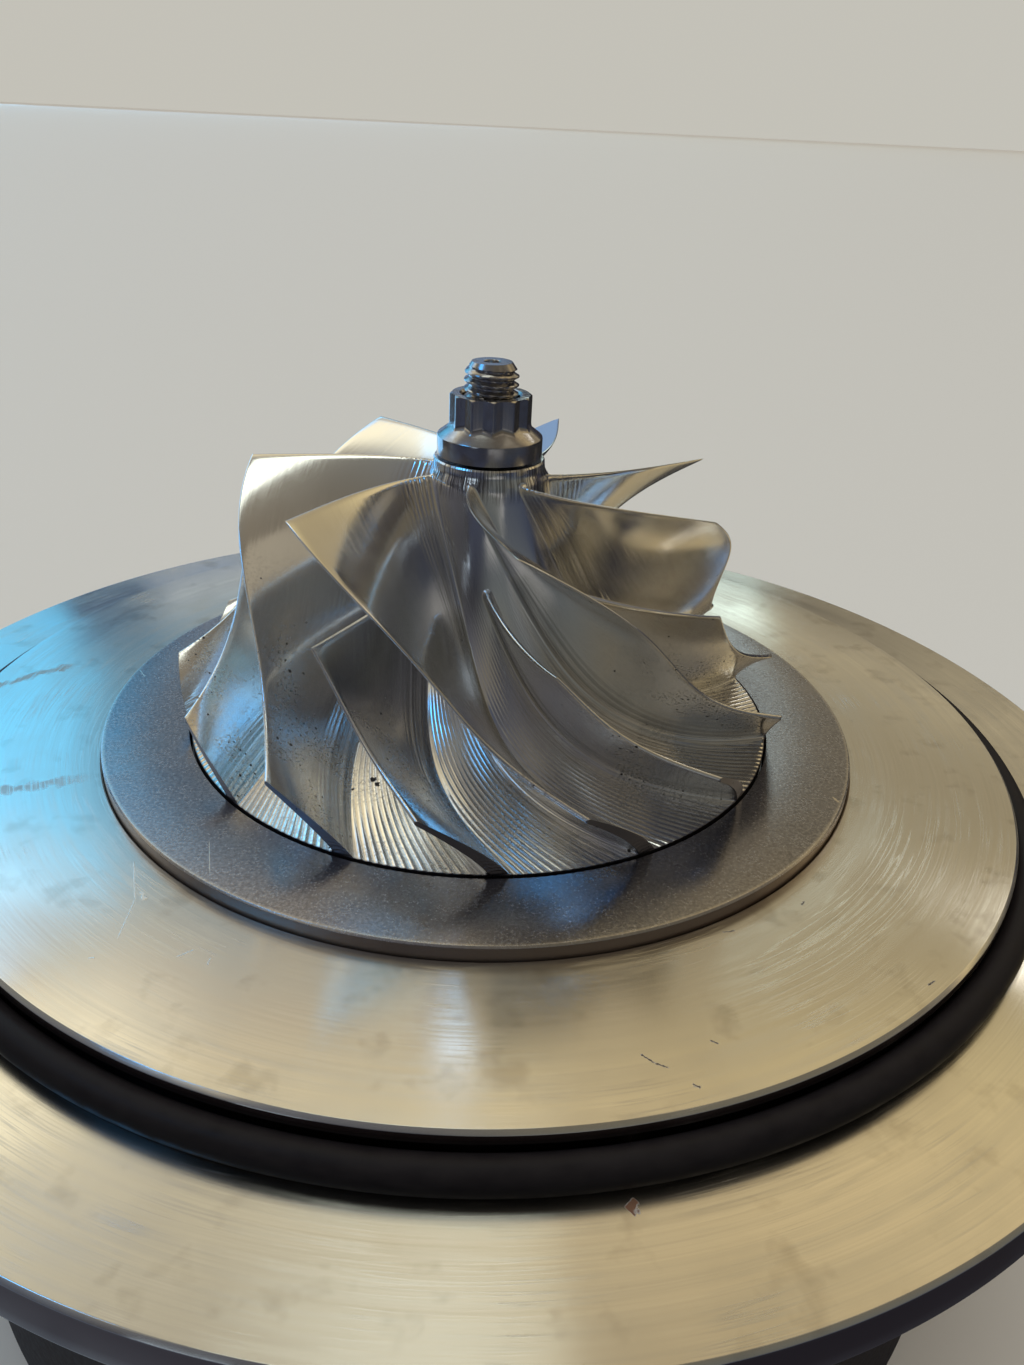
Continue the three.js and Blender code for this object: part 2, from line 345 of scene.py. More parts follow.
def slid_to_edge(points, t, u):
    """Points at a blade's end, or past the wheel's turned edge, slid along the flow onto that edge."""
    at_end = t > 0.9999
    flow = unit(along_flow(t, u))
    radius = np.hypot(points[:, 0], points[:, 1])
    outwards = (points[:, :2] * flow[:, :2]).sum(-1) / radius
    missing = HUB_RADII[-1] * (1 - u) + SHROUD_RADII[-1] * u - radius
    slide = np.where((missing < 0) | at_end, missing / outwards, 0)
    return points + flow * slide[:, None]


def fillet_foot(t, root, side, lean=0.0):
    """Where a blade's face meets the hub, the direction away from it there, and a rounding's reach."""
    corner = on_face(t, root, side)
    flow = unit(along_flow(t, root))
    away = blade_normal(t, root) * np.reshape(side, (-1, 1)) - flow * np.reshape(lean, (-1, 1))
    up = hub_normal(corner)
    away = unit(away - up * (away * up).sum(-1, keepdims=True) + TINY)
    rise = unit(on_face(t, root + 0.05, side) - corner)
    opening = np.clip((away * rise).sum(-1), -0.95, 0.95)
    radius = FILLET_NOSE + (FILLET_RIM - FILLET_NOSE) * t
    reach = np.minimum(radius * np.sqrt((1 + opening) / (1 - opening)), FILLET_LONGEST)
    return corner, away, reach


class Blade:
    """Loops round a blade's section, from its foot on the hub to its tip."""

    BODY = 64
    LEADING = 7
    TRAILING_SIDE = 0.4
    FACE_ROWS = 26
    FILLET_ROWS = 6
    TIP_ROWS = 4
    TIP_ARC = math.radians(80)
    ROOT_SEARCH = (-0.1, 0.6)
    ROOT_HALVINGS = 26

    def __init__(self, start_hub, start_shroud, nicks=()):
        self.start_hub = start_hub
        self.start_shroud = start_shroud
        self.nicks = nicks
        self.length = self.flow_length()
        self.stations()

    def flow_length(self):
        t = np.linspace(self.start_hub, 1, 200)
        steps = np.diff(middle(t, np.full_like(t, 0.5)), axis=0)
        return np.linalg.norm(steps, axis=1).sum()

    def stations(self):
        """Flow share, side and outward lean of each point round a section."""
        turn = np.linspace(0, math.pi / 2, self.LEADING + 1)[:-1]
        nose_share = LEADING_ROUND / self.length
        nose = nose_share * (1 - np.cos(turn))
        body = np.linspace(nose_share, 1, self.BODY)
        share = np.concatenate([nose, body, [1]])
        side = np.concatenate([np.sin(turn), np.ones(self.BODY), [self.TRAILING_SIDE]])
        lean = np.concatenate([np.cos(turn), np.zeros(self.BODY + 1)])
        self.share = np.concatenate([share, share[:0:-1]])
        self.side = np.concatenate([side, -side[:0:-1]])
        self.lean = np.concatenate([lean, lean[:0:-1]])

    def flow(self, v):
        """Each station's flow parameter at a share v of the way from root to tip."""
        start = self.start_hub * (1 - v) + self.start_shroud * v
        return start + (1 - start) * self.share

    def root(self, t):
        """Span position where each station meets the hub."""
        low, high = [np.full(t.shape, limit) for limit in self.ROOT_SEARCH]
        for _ in range(self.ROOT_HALVINGS):
            u = (low + high) / 2
            inside = hub_clearance(on_face(t, u, self.side)) < 0
            low = np.where(inside, u, low)
            high = np.where(inside, high, u)
        return high

    def foot(self):
        """Corner and fillet's toe on the hub, the blade's height, and the fillet's end on the face."""
        t = self.flow(0.0)
        root = self.root(t)
        corner, away, reach = fillet_foot(t, root, self.side, self.lean)
        reach = np.where(self.lean > 0, reach, reach * np.abs(self.side))
        span = np.linalg.norm(on_face(t, np.ones_like(t), self.side) - corner, axis=-1)
        toe = slid_to_edge(corner + away * reach[:, None], t, np.zeros_like(t))
        toe -= hub_normal(toe) * (hub_clearance(toe) + TOE_SUNK)[:, None]
        return corner, toe, span, root + reach / span

    def nicked(self, t):
        """How far the tip edge is worn down, as a share of the span."""
        loss = np.zeros_like(t)
        for place, width, depth in self.nicks:
            loss += depth * np.exp(-(((t - place) / width) ** 2))
        return loss

    def points(self):
        """Rows of points up the fillet, the faces and the rounded tip."""
        corner, toe, span, begin = self.foot()
        rounding = TIP_ROUND / span
        top = on_face(self.flow(0.0), begin, self.side)
        rows = []
        for s in np.arange(self.FILLET_ROWS) / self.FILLET_ROWS:
            rows.append(s ** 2 * top + 2 * s * (1 - s) * corner + (1 - s) ** 2 * toe)
        for share in np.linspace(0, 1, self.FACE_ROWS):
            rows.append(self.face_row(share * (1 - rounding), begin, self.side))
        for turn in np.linspace(0, self.TIP_ARC, self.TIP_ROWS + 1)[1:]:
            v = 1 - rounding * (1 - math.sin(turn))
            rows.append(self.face_row(v, begin, self.side * math.cos(turn)))
        return np.array(rows)

    def face_row(self, v, begin, side):
        """One row of points. Nicks lower only the last sixth of the face."""
        t = np.clip(self.flow(v), 0, 1)
        u = begin + (1 - begin) * v
        return on_face(t, u - self.nicked(t) * np.maximum(0.0, 6 * v - 5), side)

    def faces(self, rows):
        """Quads between the rows, and strips that close the first and the last row."""
        count = len(self.share)
        faces = grid_faces(rows, count)
        half = count // 2
        for start in (0, (rows - 1) * count):
            faces.append((start, start + 1, start + count - 1))
            for i in range(1, half):
                a, b = start + i, start + i + 1
                c, d = start + count - i - 1, start + count - i
                faces.append((a, b, c, d) if b != c else (a, b, d))
        return faces


def turned_round(points, angle):
    """Points turned about the shaft's axis."""
    cos, sin = math.cos(angle), math.sin(angle)
    x = points[..., 0] * cos - points[..., 1] * sin
    y = points[..., 0] * sin + points[..., 1] * cos
    return np.stack([x, y, points[..., 2]], -1)


def make_blade(node, blade, angle, look):
    name = f"{node}_milled"
    rows = blade.points()
    points = raised(turned_round(rows, angle))
    climb = np.linalg.norm(np.diff(rows, axis=0), axis=-1)
    across = np.concatenate([np.zeros((1, rows.shape[1])), np.cumsum(climb, axis=0)])
    along = blade.share * blade.length
    face = ON_BLADE + blade.side * angle
    passes = np.stack(np.broadcast_arrays(along, across, face), -1).reshape(-1, 3)
    faces = blade.faces(len(rows))
    return to_object(name, points, faces, "rotor", [node], "wheel_aluminium", look, sharp=38, passes=passes)


def make_blades(look):
    pitch = 2 * math.pi / BLADE_PAIRS
    for i in range(BLADE_PAIRS):
        for kind, start, shift in (("full", FULL_START, 0), ("splitter", SPLITTER_START, 0.5)):
            node = f"{kind}_blade_{i + 1}"
            blade = Blade(*start, TIP_NICKS.get(node, ()))
            make_blade(node, blade, pitch * (i + shift), look)


def ridge_lift(t, share, radius, slope):
    """How far the cusps that the cutter leaves stand above or below the hub's mean floor."""
    sweep = radius * np.gradient(np.radians(bezier(HUB_WRAP, t))[:, 0])[:, None]
    passage = 2 * math.pi * radius / PASSAGES * slope / np.hypot(slope, sweep)
    cusp = (passage / RIDGES_PER_PASSAGE) ** 2 / (8 * CUTTER_RADIUS)
    flow = t[:, 0]
    root = np.zeros_like(flow)
    ahead = fillet_foot(flow, root, root - 1)[2]
    behind = fillet_foot(flow, root, root + 1)[2]
    from_blade = (share * PASSAGES + 0.5) % 1 - 0.5
    foot = half_thickness(t, 0) + np.where(from_blade > 0, ahead[:, None], behind[:, None])
    fade = np.clip((np.abs(from_blade) * passage - foot) / RIDGE_FADE, 0, 1)
    across = (share * PASSAGES * RIDGES_PER_PASSAGE) % 1
    return cusp * ((2 * across - 1) ** 2 - 1 / 3) * fade


def make_hub(look):
    """The hub, with the marks of the cutter's passes on its floor."""
    columns = PASSAGES * RIDGES_PER_PASSAGE * POINTS_PER_RIDGE
    share = np.arange(columns) / columns
    t = np.linspace(0, 1, HUB_ROWS)[:, None]
    radius = bezier(HUB_RADII, t)
    height = bezier(HUB_HEIGHTS, t)
    angle = np.radians(bezier(HUB_WRAP, t)) + 2 * math.pi * share
    run = np.gradient(radius[:, 0])[:, None]
    fall = np.gradient(height[:, 0])[:, None]
    slope = np.hypot(run, fall)
    lift = ridge_lift(t, share, radius, slope)
    rows = list(polar(radius - lift * fall / slope, angle, height + lift * run / slope))
    rows += [polar(r, angle[-1], z) for r, z in HUB_UNDERSIDE]
    rows += [polar(r, angle[0], z) for r, z in HUB_NOSE]
    faces = grid_faces(len(rows), columns, close_rows=True)
    plain_step = 0.5
    steps = np.concatenate([[0], slope[1:, 0], np.full(len(rows) - HUB_ROWS, plain_step)])
    along = np.cumsum(steps)[:, None]
    around = share * 2 * math.pi * HUB_RADII[-1] / 2
    passes = np.stack(np.broadcast_arrays(along, around, 0.0), -1).reshape(-1, 3)
    belonging = ("rotor", ["wheel_hub"], "wheel_aluminium")
    return to_object("wheel_hub_milled", raised(rows), faces, *belonging, look, sharp=20, passes=passes)


def thread_radius(angle, height):
    """Left-hand thread with flat crests, chamfered at the shaft's end."""
    phase = (height / THREAD_PITCH + angle / (2 * math.pi)) % 1
    ramp = np.clip((np.abs(phase - 0.5) - 0.08) / 0.34, 0, 1)
    cut = THREAD_DEPTH * (1 - ramp)
    chamfer = THREAD_RADIUS - SHAFT_CHAMFER + (SHAFT_TOP - height) * CHAMFER_SLOPE
    return np.minimum(THREAD_RADIUS - cut, chamfer)


def make_shaft(look):
    columns = 120
    angle = full_turn(columns)
    profile = [
        (AXIS_HOLE, SHAFT_BOTTOM),
        (JOURNAL_RADIUS - JOURNAL_CHAMFER, SHAFT_BOTTOM),
        (JOURNAL_RADIUS, SHAFT_BOTTOM + JOURNAL_CHAMFER),
        (JOURNAL_RADIUS, COLLAR_BOTTOM),
        (COLLAR_RADIUS, COLLAR_BOTTOM),
        (COLLAR_RADIUS, COLLAR_TOP),
        (SHANK_RADIUS, COLLAR_TOP),
        (SHANK_RADIUS, THREAD_BOTTOM - 0.1),
    ]
    heights = np.linspace(THREAD_BOTTOM, SHAFT_TOP, THREAD_ROWS)
    profile += [(thread_radius(angle, height), height) for height in heights]
    profile += [
        (CENTRE_HOLE_RADIUS + 0.12, SHAFT_TOP),
        (CENTRE_HOLE_RADIUS, SHAFT_TOP - 0.1),
        (CENTRE_HOLE_RADIUS * 0.9, SHAFT_TOP - 1.2),
        (CENTRE_HOLE_RADIUS * 0.7, SHAFT_TOP - 3),
        (AXIS_HOLE, SHAFT_TOP - 3.4),
    ]
    points = raised([polar(radius, angle, height) for radius, height in profile])
    faces = grid_faces(len(profile), columns)
    faces += [tuple(range(start, start + columns)) for start in (0, len(points) - columns)]
    name = "rotor_shaft_threaded"
    return to_object(name, points, faces, "rotor", ["rotor_shaft"], "shaft_steel", look, sharp=32)


def head_radius(angle):
    """Outline of a twelve-point head: two hexagons a twelfth of a turn apart, with worn corners."""
    sixth = math.pi / 3
    apothem = NUT_POINT_RADIUS * math.cos(sixth / 2)
    first = apothem / np.cos((angle % sixth) - sixth / 2)
    second = apothem / np.cos(((angle + sixth / 2) % sixth) - sixth / 2)
    return np.minimum(np.maximum(first, second), NUT_POINT_RADIUS - NUT_POINT_WEAR)


def make_nut(look):
    columns = 288
    angle = full_turn(columns)
    head = head_radius(angle)
    cone = (NUT_CONE_TOP - NUT_RIM_TOP) / (NUT_RIM_RADIUS - head.min())
    foot = NUT_RIM_TOP + (NUT_RIM_RADIUS - head) * cone
    edge = NUT_TOP - np.maximum(head - NUT_CHAMFER_RADIUS, 0) * math.tan(NUT_CHAMFER_ANGLE)
    profile = [
        (NUT_BORE_RADIUS, NUT_BOTTOM),
        (NUT_RIM_RADIUS - 0.12, NUT_BOTTOM),
        (NUT_RIM_RADIUS, NUT_BOTTOM + 0.1),
        (NUT_RIM_RADIUS, NUT_RIM_TOP - 0.2),
        (NUT_RIM_RADIUS - 0.04, NUT_RIM_TOP - 0.05),
        (NUT_RIM_RADIUS - 0.15, NUT_RIM_TOP + 0.08),
    ]
    for turn in np.linspace(0, 1, 7):
        out = NUT_FOOT_ROUND * (1 - turn) ** 2
        up = NUT_FOOT_ROUND * turn ** 2
        profile.append((head + out, foot - out * cone + up))
    profile += [
        (head, edge - 0.04),
        (head - 0.03, edge + 0.01),
        (NUT_CHAMFER_RADIUS * 0.99, NUT_TOP),
        (NUT_BORE_RADIUS + NUT_BORE_CHAMFER, NUT_TOP),
        (NUT_BORE_RADIUS, NUT_TOP - NUT_BORE_CHAMFER),
    ]
    points = raised([polar(radius, angle + NUT_TURN, height) for radius, height in profile])
    faces = grid_faces(len(profile), columns, close_rows=True)
    name = "lock_nut_machined"
    return to_object(name, points, faces, "rotor", ["lock_nut"], "shaft_steel", look, sharp=24)


# Stationary pieces

def make_backplate(look):
    recess = SEAL_RADIUS + SEAT_GAP
    outline = softened([
        (COLLAR_HOLE_RADIUS, BACKPLATE_BOTTOM, 0.2),
        (FLANGE_RADIUS, BACKPLATE_BOTTOM, 0.5),
        (FLANGE_RADIUS, FLANGE_TOP - EDGE_CHAMFER, 0.15),
        (FLANGE_RADIUS - EDGE_CHAMFER, FLANGE_TOP, 0.15),
        (GROOVE_RADIUS, FLANGE_TOP, 0.4),
        (GROOVE_RADIUS, GROOVE_TOP, 0.1),
        (STEP_RADIUS, GROOVE_TOP, 0.12),
        (STEP_RADIUS, STEP_TOP - EDGE_CHAMFER, 0.12),
        (STEP_RADIUS - EDGE_CHAMFER, STEP_TOP, 0.12),
        (recess + SEAL_CHAMFER, STEP_TOP, 0.06),
        (recess, STEP_TOP - SEAL_CHAMFER, 0.06),
        (recess, SEAL_BOTTOM, 0.2),
        (COLLAR_HOLE_RADIUS, SEAL_BOTTOM, 0.2),
    ])
    return turned("backplate_turned", outline, 480, ["backplate"], "turned_aluminium", look)


def make_seal_plate(look):
    outline = softened([
        (COLLAR_HOLE_RADIUS, SEAL_BOTTOM, 0.2),
        (SEAL_RADIUS, SEAL_BOTTOM, 0.3),
        (SEAL_RADIUS, DECK - SEAL_CHAMFER, 0.1),
        (SEAL_RADIUS - SEAL_CHAMFER, DECK, 0.1),
        (POCKET_RADIUS, DECK, 0.12),
        (POCKET_RADIUS, POCKET_FLOOR, 0.3),
        (COLLAR_HOLE_RADIUS, POCKET_FLOOR, 0.2),
    ])
    return turned("seal_plate_ground", outline, 400, ["seal_plate"], "ground_steel", look)


def make_ring(look):
    section = (RING_TOP - RING_BOTTOM) / 2
    middle_height = (RING_TOP + RING_BOTTOM) / 2
    turn = full_turn(24)
    outline = np.stack([RING_RADIUS + section * np.cos(turn), middle_height + section * np.sin(turn)], -1)
    return turned("o_ring_rubber", outline, 400, ["o_ring"], "ring_rubber", look, sharp=60)


def make_housing(look):
    top = BACKPLATE_BOTTOM
    outline = softened([
        (AXIS_HOLE, 0, 0),
        (HOUSING_RADIUS - HOUSING_CHAMFER, 0, 0.8),
        (HOUSING_RADIUS, HOUSING_CHAMFER, 0.8),
        (HOUSING_RADIUS, top, 0.3),
        (BEARING_RADIUS, top, 0.3),
        (BEARING_RADIUS, top - BEARING_DEPTH, 0.3),
        (AXIS_HOLE, top - BEARING_DEPTH, 0),
    ])
    return turned("bearing_housing_cast", outline, 240, ["bearing_housing"], "housing_iron", look)


# Materials

class Nodes:
    """Short ways to add nodes to a node tree and to link them."""

    def __init__(self, tree):
        self.tree = tree

    def add(self, kind, inputs=None, **settings):
        node = self.tree.nodes.new(kind)
        for key, value in settings.items():
            setattr(node, key, value)
        for key, value in (inputs or {}).items():
            self.put(node.inputs[key], value)
        return node

    def put(self, socket, value):
        """Feed a socket with another node's output, a number, a vector or a colour."""
        if isinstance(value, bpy.types.NodeSocket):
            self.tree.links.new(value, socket)
        elif socket.type == "RGBA":
            socket.default_value = (*value, 1)
        else:
            socket.default_value = value

    def math(self, operation, *values):
        return self.add("ShaderNodeMath", dict(enumerate(values)), operation=operation).outputs[0]

    def chain(self, operation, values):
        result = values[0]
        for value in values[1:]:
            result = self.math(operation, result, value)
        return result

    def plus(self, *values):
        return self.chain("ADD", values)

    def times(self, *values):
        return self.chain("MULTIPLY", values)

    def either(self, *masks):
        return self.chain("MAXIMUM", masks)

    def inverse(self, mask):
        return self.math("SUBTRACT", 1, mask)

    def gap(self, first, second):
        """How far apart two values are."""
        return self.math("ABSOLUTE", self.math("SUBTRACT", first, second))

    def ramp(self, value, low, high, start=0.0, end=1.0, kind="LINEAR"):
        """A value's way from low to high, as a number that goes from start to end."""
        node = self.add(
            "ShaderNodeMapRange",
            {"Value": value, "From Min": low, "From Max": high, "To Min": start, "To Max": end},
            interpolation_type=kind,
        )
        return node.outputs["Result"]

    def mix(self, mask, first, second):
        """One colour where a mask is 0, another where it is 1."""
        node = self.add("ShaderNodeMix", {"Factor": mask}, data_type="RGBA")
        sockets = [socket for socket in node.inputs if socket.type == "RGBA"]
        for socket, colour in zip(sockets, (first, second)):
            self.put(socket, colour)
        return next(socket for socket in node.outputs if socket.type == "RGBA")

    def painted(self, colour, *layers):
        """A colour under layers of a mask and a colour each, the last one on top."""
        for mask, layer in layers:
            colour = self.mix(mask, colour, layer)
        return colour


class Look(Nodes):
    """A material's nodes round its Principled shader. Lengths are in millimetres, and heights count from
    the deck."""

    def __init__(self, name, colour, metallic, roughness):
        self.material = bpy.data.materials.new(name)
        self.material.use_nodes = True
        super().__init__(self.material.node_tree)
        self.shader = self.tree.nodes["Principled BSDF"]
        self.set("Base Color", colour)
        self.set("Metallic", metallic)
        self.set("Roughness", roughness)
        self.place = self.add("ShaderNodeTexCoord").outputs["Object"]

    def set(self, key, value):
        self.put(self.shader.inputs[key], value)

    def vector(self, operation, *values, output="Vector"):
        node = self.add("ShaderNodeVectorMath", dict(enumerate(values)), operation=operation)
        return node.outputs[output]

    def dot(self, vector, direction):
        return self.vector("DOT_PRODUCT", vector, direction, output="Value")

    def length(self, vector):
        return self.vector("LENGTH", vector, output="Value")

    def scaled(self, vector, sizes):
        """Coordinates that repeat once over each of three sizes in millimetres."""
        return self.vector("MULTIPLY", vector, [1 / (size * MM) for size in sizes])

    def noise(self, vector, detail=2.0, roughness=0.5, output="Fac"):
        node = self.add(
            "ShaderNodeTexNoise",
            {"Vector": vector, "Scale": 1.0, "Detail": detail, "Roughness": roughness},
        )
        return node.outputs[output]

    def lumps(self, size, detail=2.0, roughness=0.5, output="Fac"):
        """Noise with lumps of one size in every direction."""
        return self.noise(self.scaled(self.place, (size,) * 3), detail, roughness, output)

    def bump(self, *layers):
        """Give the surface layers of relief, each with its height's pattern and its depth."""
        normal = None
        for height, depth in layers:
            node = self.add("ShaderNodeBump", {"Height": height, "Distance": depth * MM, "Strength": 1.0})
            if normal is not None:
                self.put(node.inputs["Normal"], normal)
            normal = node.outputs["Normal"]
        self.set("Normal", normal)

    def around(self, radial, turn_share):
        """Coordinates for marks that run round the axis: short across, long along the turn."""
        sweep = self.vector("MULTIPLY", self.heading(), (1 / turn_share,) * 3)
        outwards = self.math("DIVIDE", self.radius(), radial)
        return self.vector("ADD", sweep, self.add("ShaderNodeCombineXYZ", {"Z": outwards}).outputs[0])

    def flat(self):
        """Place on a level face."""
        return self.vector("MULTIPLY", self.place, (1 / MM, 1 / MM, 0))

    def radius(self):
        return self.length(self.flat())

    def heading(self):
        return self.vector("NORMALIZE", self.flat())

    def height(self):
        return self.math("SUBTRACT", self.dot(self.place, (0, 0, 1 / MM)), DECK)

    def steepness(self):
        """0 on level faces, 1 on upright walls."""
        normal = self.add("ShaderNodeNewGeometry").outputs["Normal"]
        return self.inverse(self.math("ABSOLUTE", self.dot(normal, (0, 0, 1))))

    def hairs(self, noise, width):
        """Thin winding lines where a noise passes its middle value."""
        return self.ramp(self.gap(noise, 0.5), width, 0.0)

    def specks(self, spacing, largest, share, crowd=None):
        """Mask of scattered pits: their mean distance and largest radius, and the share of places that
        have one, which a crowd mask raises where it is bright."""
        wobble = self.vector("SUBTRACT", self.lumps(largest, 1, output="Color"), (0.5, 0.5, 0.5))
        shift = self.vector("MULTIPLY", wobble, (largest * 0.7 / spacing,) * 3)
        place = self.vector("ADD", self.scaled(self.place, (spacing,) * 3), shift)
        cells = self.add("ShaderNodeTexVoronoi", {"Vector": place, "Scale": 1.0})
        luck = self.add("ShaderNodeSeparateColor", {"Color": cells.outputs["Color"]}).outputs[0]
        if crowd is not None:
            luck = self.plus(luck, crowd)
        size = self.ramp(luck, 1 - share, 1.15, 0.0, largest / spacing)
        inside = self.math("SUBTRACT", size, cells.outputs["Distance"])
        return self.ramp(inside, 0.0, 0.25 * largest / spacing)

    def stroke(self, start, end, width):
        """Mask of a stroke on a level face from start to end, with wavering edges and a half width."""
        span = Vector(end) - Vector(start)
        length = span.length
        along = span / length
        offset = self.vector("SUBTRACT", self.flat(), (*start, 0))
        sideways = self.dot(offset, (-along.y, along.x, 0))
        forwards = self.dot(offset, (*along, 0))
        waver = self.ramp(self.lumps(width * 2, 3), 0.2, 0.8, -width, width)
        off_line = self.math("ABSOLUTE", self.plus(sideways, waver))
        across = self.ramp(off_line, width, width * 0.3)
        from_middle = self.gap(forwards, length / 2)
        return self.times(across, self.ramp(from_middle, length * 0.52, length * 0.4))

    def strokes(self, rows):
        return self.either(*[self.stroke(*row) for row in rows])

    def blot(self, centre, radius):
        """Mask of a ragged spot."""
        x, y, z = centre
        offset = self.vector("SUBTRACT", self.place, (x * MM, y * MM, (z + DECK) * MM))
        away = self.times(self.length(offset), 1 / (radius * MM))
        ragged = self.ramp(self.lumps(radius * 0.8, 2), 0.3, 0.7, -0.5, 0.5)
        return self.ramp(self.plus(away, ragged), 1, 0.85)

    def sector(self, degrees, half_degrees, radius, half_radius):
        """Mask of a part of a turned face, soft at its edges."""
        middle_way = (math.cos(math.radians(degrees)), math.sin(math.radians(degrees)), 0)
        edge = math.cos(math.radians(half_degrees))
        turn = self.ramp(self.dot(self.heading(), middle_way), edge, 1 - (1 - edge) * 0.35)
        away = self.gap(self.radius(), radius)
        return self.times(turn, self.ramp(away, half_radius, half_radius * 0.5))


# Dark nicks on the wheel: place in millimetres from the axis and the deck, and radius
WHEEL_NICKS = (
    ((-14.8, -29, 2.95), 0.5),
    ((-14.2, -29.9, 2.8), 0.4),
    ((-17.6, -30.4, 2.15), 0.22),
    ((13.4, -31.6, 32.3), 0.35),
    ((-3.1, -16.4, 19.2), 0.25),
)


def wheel_pits(look, on_blade, crowd):
    """Mask of the pits in the blades, which crowd low down, and of the dark nicks."""
    scattered = look.either(
        look.specks(0.8, 0.2, 0.01, look.times(crowd, 0.3)),
        look.specks(1.6, 0.28, 0.05, look.times(crowd, 0.4)),
        look.specks(3, 0.2, 0.12),
    )
    return look.either(look.times(scattered, on_blade), *[look.blot(*nick) for nick in WHEEL_NICKS])


def wheel_edge(look):
    """Mask of the wheel's turned outer edge, a cone that widens upwards."""
    lean = (SHROUD_RADII[-1] - HUB_RADII[-1]) / (SHROUD_HEIGHTS[-1] - HUB_HEIGHTS[-1])
    reach = look.math("SUBTRACT", look.radius(), look.times(look.height(), lean))
    return look.ramp(reach, HUB_RADII[-1] - 0.25, HUB_RADII[-1] - 0.12)


def root_reflection_streaks(look, passes, across, on_blade):
    """Mask of dark streaks along the flow near the blades' roots, fainter high up, painted into the colour
    as the dark bands of the faces' reflections there.
    """
    bands = look.noise(look.scaled(passes, (40, 0.9, 1)), 2)
    near_root = look.times(look.ramp(across, 8, 4), look.ramp(across, 0.3, 1))
    lower_down = look.ramp(look.height(), 40, 26, 0.15, 1.0)
    return look.times(on_blade, near_root, look.ramp(bands, 0.42, 0.56), lower_down)


def wheel_look():
    """Milled and worn aluminium: cutter marks along the flow and at the roots, dark reflection streaks
    painted near the roots, scuffs under the nut, a dull outer edge, and pits and grime low down."""
    bare = (0.91, 0.9, 0.88)
    root_step = 0.8
    look = Look("milled_aluminium", bare, 1.0, 0.15)
    passes = look.add("ShaderNodeAttribute", attribute_name="passes").outputs["Vector"]
    across = look.dot(passes, (0, 1 / MM, 0))
    on_blade = look.ramp(look.dot(passes, (0, 0, 1 / MM)), ON_BLADE * 0.2, ON_BLADE * 0.6)
    on_hub = look.inverse(on_blade)
    streak = look.noise(look.scaled(passes, (7, 0.22, 1)), 2, 0.6)
    scores = look.noise(look.scaled(passes, (30, 0.8, 1)), 1)
    cloud = look.lumps(8, 3)
    low_down = look.times(look.ramp(look.height(), 34, 14), look.ramp(look.radius(), 20, 34))
    crowd = look.times(low_down, look.ramp(cloud, 0.38, 0.56))
    pits = wheel_pits(look, on_blade, crowd)
    grime = look.times(crowd, look.ramp(look.lumps(0.4, 4, 0.7), 0.48, 0.6))
    painted_root_streaks = root_reflection_streaks(look, passes, across, on_blade)
    scuffs = look.noise(look.around(4, 0.03), 2)
    under_nut = look.times(on_hub, look.ramp(look.height(), NOSE_TOP - 5, NOSE_TOP - 3))
    edge = wheel_edge(look)
    look.set("Base Color", look.painted(
        bare,
        (look.times(grime, 0.4), (0.3, 0.28, 0.27)),
        # Painted reflection: dark streaks near the roots stand in for the dark bands that the faces mirror
        # there
        (look.times(painted_root_streaks, 0.5), (0.27, 0.26, 0.24)),
        (look.times(under_nut, look.ramp(scuffs, 0.42, 0.6)), (0.4, 0.38, 0.36)),
        (edge, (0.3, 0.29, 0.31)),
        (pits, (0.025, 0.02, 0.018)),
    ))
    look.set("Metallic", look.inverse(look.times(pits, 0.8)))
    worn = look.either(look.times(pits, 0.4), look.times(grime, 0.15), look.times(edge, 0.2))
    rough = look.plus(look.ramp(cloud, 0.3, 0.7, 0.11, 0.18), look.ramp(streak, 0.3, 0.7, -0.03, 0.04))
    look.set("Roughness", look.plus(look.math("SUBTRACT", rough, look.times(on_hub, 0.03)), worn))
    near_root = look.times(on_blade, look.ramp(across, 7, 2), look.ramp(across, 0.7, 1.3))
    phase = look.plus(look.times(across, 2 * math.pi / root_step), look.times(scores, 6))
    look.bump(
        (look.times(look.math("SINE", phase), near_root), 0.028),
        (look.times(scuffs, under_nut), 0.04),
        (scores, 0.004),
        (streak, 0.0015),
    )
    return look.material


# Handling marks on the plates: start, end and half width, in millimetres from the shaft's axis
PLATE_SCRATCHES = (
    ((-44.9, -42.6), (-42.4, -50.4), 0.09),
    ((-42.4, -50.2), (-42.3, -57.6), 0.07),
    ((-34.6, -60.5), (-32.8, -59.2), 0.14),
    ((-30.7, -61.7), (-30.6, -60.5), 0.1),
    ((-42.1, -48.9), (-41.2, -50.4), 0.3),
    ((-44.5, -61.2), (-43.9, -61), 0.2),
)
PLATE_SMEARS = (
    ((-88, -1), (-72, 13), 1.2),
    ((-84, -33), (-57, -23), 1.3),
)
PLATE_FIBRES = (
    ((31, -53.6), (32.6, -53.2), 0.14),
    ((42.3, -47.9), (42.9, -47.1), 0.14),
    ((53.8, -62), (55, -61.2), 0.14),
    ((23.4, -77.5), (24.2, -78), 0.2),
    ((18.4, -73.6), (19.8, -74.8), 0.14),
    ((19.8, -74.8), (21.2, -75.4), 0.14),
    ((26.3, -71.4), (27.2, -71.9), 0.14),
)
FLANGE_CRUMB = (((16.2, -87.9), (17.4, -86.9), 1.1),)
SEAL_SCRATCHES = (
    ((-35.4, -40.4), (-33.7, -47.3), 0.06),
    ((-59, 8), (-57.1, 5.2), 0.12),
    ((52.2, -25.4), (52.9, -26.8), 0.25),
)


